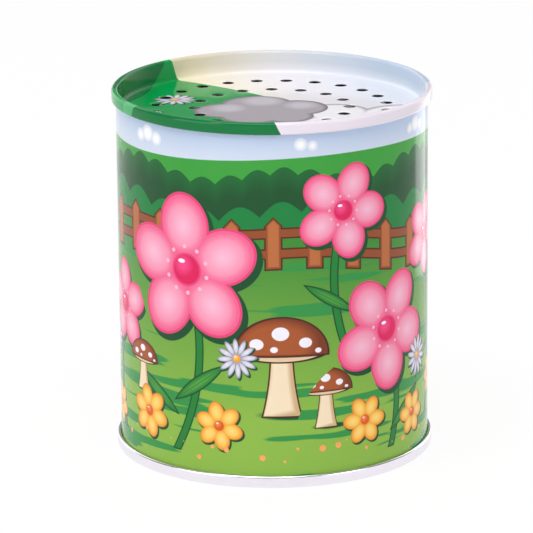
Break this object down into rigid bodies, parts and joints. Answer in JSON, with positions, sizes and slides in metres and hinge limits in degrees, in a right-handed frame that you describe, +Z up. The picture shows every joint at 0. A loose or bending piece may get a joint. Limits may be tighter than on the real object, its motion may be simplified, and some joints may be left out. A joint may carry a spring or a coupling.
{
  "type": "animal sound maker",
  "caption": "Tilt-operated sound toy: a printed tin can with a sunk, perforated top, holding a sliding weight, a bellows and a reed with a small horn that sounds as it is turned over and back.",
  "frame": {"origin": "centre of the ring that the can stands on, on the can's axis", "axes": "+Z up the can's axis from the base to the perforated top, -Y to the front, and the side seam at the back on +Y"},
  "size_m": [0.0658, 0.0658, 0.076],
  "materials": {
    "printed_wall": "colour-printed tinplate under gloss varnish, bare tin inside",
    "printed_top": "colour-printed tinplate under gloss varnish, bare tin below",
    "bare_tin": "bright tinplate",
    "grey_card": "plain grey board, punched",
    "white_moulding": "moulded polystyrene, semi-matt",
    "black_moulding": "moulded polystyrene, semi-matt",
    "clear_film": "thin polyester film",
    "bellows_film": "pleated polythene film",
    "cast_block": "cast cement",
    "rubber_ring": "soft rubber",
    "reed_brass": "rolled brass strip",
    "horn_moulding": "moulded polystyrene, glossy"
  },
  "bodies": {
    "casing": {"can_body": "printed_wall", "perforated_top": "printed_top", "base_end": "bare_tin", "base_card": "grey_card", "top_card": "grey_card", "voice_cup": "white_moulding", "voice_cap": "white_moulding", "flap_stud": "black_moulding", "bellows": "bellows_film", "bellows_base_ring": "black_moulding"},
    "weight": {"weight_carrier": "white_moulding", "weight": "cast_block", "bump_ring": "rubber_ring", "bellows_head_ring": "black_moulding", "reed_socket": "white_moulding", "reed_shallot": "black_moulding", "reed_wedge": "black_moulding", "horn": "horn_moulding"},
    "reed": {"reed_tongue": "reed_brass"},
    "flap": {"inlet_flap": "clear_film"}
  },
  "joints": [
    {"name": "weight_slide", "type": "slide", "parent": "casing", "child": "weight", "axis": [0, 0, 1], "range_m": [0, 0.0261], "deforming": ["bellows"]},
    {"name": "reed_flex", "type": "hinge", "parent": "weight", "child": "reed", "pos_m": [0.00085, 0, 0.03004], "axis": [0, -1, 0], "range_deg": [-2, 4], "stiffness_Nm_per_rad": 0.002, "deforming": ["reed_tongue"]},
    {"name": "flap_lift", "type": "slide", "parent": "casing", "child": "flap", "axis": [0, 0, 1], "range_m": [0, 0.001]}
  ]
}
